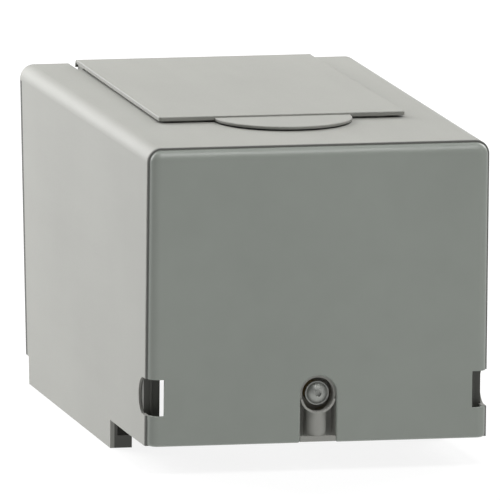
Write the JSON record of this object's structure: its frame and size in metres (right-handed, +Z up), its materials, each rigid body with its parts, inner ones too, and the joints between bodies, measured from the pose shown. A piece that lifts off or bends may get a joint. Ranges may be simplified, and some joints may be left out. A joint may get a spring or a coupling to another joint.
{
  "type": "meter socket enclosure",
  "caption": "Moulded grey hood with a hinged top hatch, on slide rails over a wall-bolted meter socket base, held by a captive front screw.",
  "frame": {"origin": "middle of the footprint, on the surface that the slide rails stand on", "axes": "+X to the right seen from the front, +Y from the front panel back to the wall, +Z up"},
  "size_m": [0.202, 0.328, 0.191],
  "materials": {
    "grey_moulding": "fine matt texture",
    "dark_moulding": "matt",
    "zinc_steel": "zinc plated",
    "spring_steel": "blued",
    "brass": "turned",
    "nylon": "natural",
    "black_insulator": "moulded",
    "tinned_copper": "tinned",
    "aluminium": "sawn and tumbled",
    "green_screw": "green passivated",
    "rubber": "extruded",
    "red_insulator": "pressed fibre"
  },
  "bodies": {
    "hood": {"hood": "grey_moulding", "front_panel": "grey_moulding", "left_slide_rail": "dark_moulding", "right_slide_rail": "dark_moulding", "left_corner_post": "dark_moulding", "right_corner_post": "dark_moulding", "panel_gasket": "rubber", "left_wall_seal": "rubber", "right_wall_seal": "rubber", "screw_well": "grey_moulding", "screw_sleeve": "brass", "hinge_pin": "zinc_steel"},
    "hatch": {"hatch_lid": "grey_moulding"},
    "washer": {"screw_washer": "nylon"},
    "screw": {"cover_screw": "zinc_steel", "screw_retaining_ring": "spring_steel"},
    "base": {"back_plate": "zinc_steel", "left_runner": "zinc_steel", "right_runner": "zinc_steel", "anchor_arm": "zinc_steel", "anchor_nut": "brass", "arm_screws": "zinc_steel", "line_block": "black_insulator", "load_block": "black_insulator", "block_screws": "zinc_steel", "line_jaw_left": "tinned_copper", "line_jaw_right": "tinned_copper", "load_jaw_left": "tinned_copper", "load_jaw_right": "tinned_copper", "line_lug_left": "aluminium", "line_lug_right": "aluminium", "load_lug_left": "aluminium", "load_lug_right": "aluminium", "lug_screws": "spring_steel", "neutral_bar": "brass", "neutral_screws": "zinc_steel", "neutral_standoffs": "black_insulator", "ground_lug": "aluminium", "ground_screw": "green_screw", "phase_barrier": "red_insulator"}
  },
  "joints": [
    {"name": "hatch_hinge", "type": "hinge", "parent": "hood", "child": "hatch", "pos_m": [0, 0.152, 0.1864], "axis": [-1, 0, 0], "range_deg": [0, 90]},
    {"name": "screw_travel", "type": "slide", "parent": "hood", "child": "washer", "axis": [0, -1, 0], "range_m": [0, 0.01]},
    {"name": "screw_turn", "type": "hinge", "parent": "washer", "child": "screw", "pos_m": [0, -0.154, 0.0445], "axis": [0, -1, 0], "range_deg": [0, 3600]},
    {"name": "base_slide", "type": "slide", "parent": "hood", "child": "base", "axis": [0, 1, 0], "range_m": [0, 0.15]}
  ],
  "couplings": [
    {"joint": "screw_turn", "follows": "screw_travel", "rad_per_m": 6283}
  ]
}
